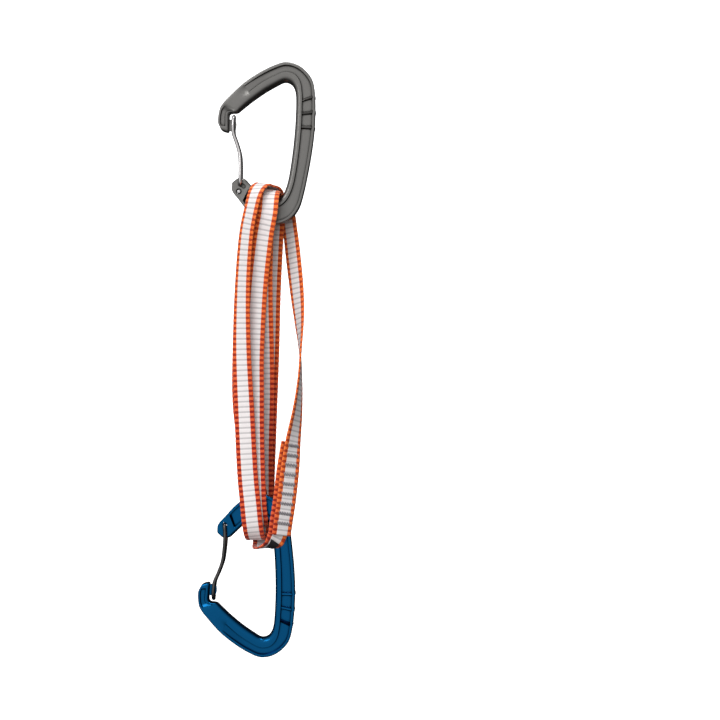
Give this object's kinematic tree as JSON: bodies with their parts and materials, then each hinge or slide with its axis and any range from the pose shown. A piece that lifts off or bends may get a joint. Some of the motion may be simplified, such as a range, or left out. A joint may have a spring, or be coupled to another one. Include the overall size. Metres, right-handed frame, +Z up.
{
  "type": "climbing quickdraw",
  "caption": "Alpine climbing quickdraw: two wire-gate carabiners with sprung gates, joined by a tripled loop of narrow sewn webbing; hangs from a bolt",
  "frame": {"origin": "lowest point of the top carabiner's basket, on its mid plane, where it hangs from a bolt hanger", "axes": "+Z up along the hanging quickdraw, +Y across the carabiners' thickness with their flat sides facing -Y and +Y, gates on the -X side"},
  "size_m": [0.0631, 0.0301, 0.32],
  "materials": {
    "anodised_grey": "matte dark grey anodised forging",
    "anodised_blue": "glossy blue anodised forging",
    "steel_wire": "bright stainless spring wire",
    "webbing": "woven webbing, white centre between orange edges with dark beads",
    "thread": "grey sewing thread",
    "label": "black woven tag"
  },
  "bodies": {
    "top_carabiner": {"top_carabiner_body": "anodised_grey"},
    "top_gate": {"top_gate_wire": "steel_wire"},
    "sling": {"sling_webbing": "webbing", "sling_label": "label", "bar_tack_front_1": "thread", "bar_tack_front_2": "thread", "bar_tack_front_3": "thread", "bar_tack_front_4": "thread", "bar_tack_front_5": "thread", "bar_tack_front_6": "thread", "bar_tack_front_7": "thread", "bar_tack_front_8": "thread", "bar_tack_front_9": "thread", "bar_tack_back_1": "thread", "bar_tack_back_2": "thread", "bar_tack_back_3": "thread", "bar_tack_back_4": "thread", "bar_tack_back_5": "thread", "bar_tack_back_6": "thread", "bar_tack_back_7": "thread", "bar_tack_back_8": "thread", "bar_tack_back_9": "thread"},
    "bottom_carabiner": {"bottom_carabiner_body": "anodised_blue"},
    "bottom_gate": {"bottom_gate_wire": "steel_wire"}
  },
  "joints": [
    {"name": "top_gate_hinge", "type": "hinge", "parent": "top_carabiner", "child": "top_gate", "pos_m": [-0.0244, 0, -0.0589], "axis": [0, 1, 0], "range_deg": [0, 35], "stiffness_Nm_per_rad": 0.12, "springref_deg": -51.57},
    {"name": "sling_swing", "type": "hinge", "parent": "top_carabiner", "child": "sling", "pos_m": [-0.011, 0, -0.0675], "axis": [1, 0, 0], "range_deg": [-5, 7]},
    {"name": "bottom_carabiner_swing", "type": "hinge", "parent": "sling", "child": "bottom_carabiner", "pos_m": [-0.0115, 0, -0.23], "axis": [1, 0, 0], "range_deg": [-5, 8]},
    {"name": "bottom_gate_hinge", "type": "hinge", "parent": "bottom_carabiner", "child": "bottom_gate", "pos_m": [-0.03199, 0, -0.23806], "axis": [0, -1, 0], "range_deg": [0, 35], "stiffness_Nm_per_rad": 0.12, "springref_deg": -51.57}
  ]
}
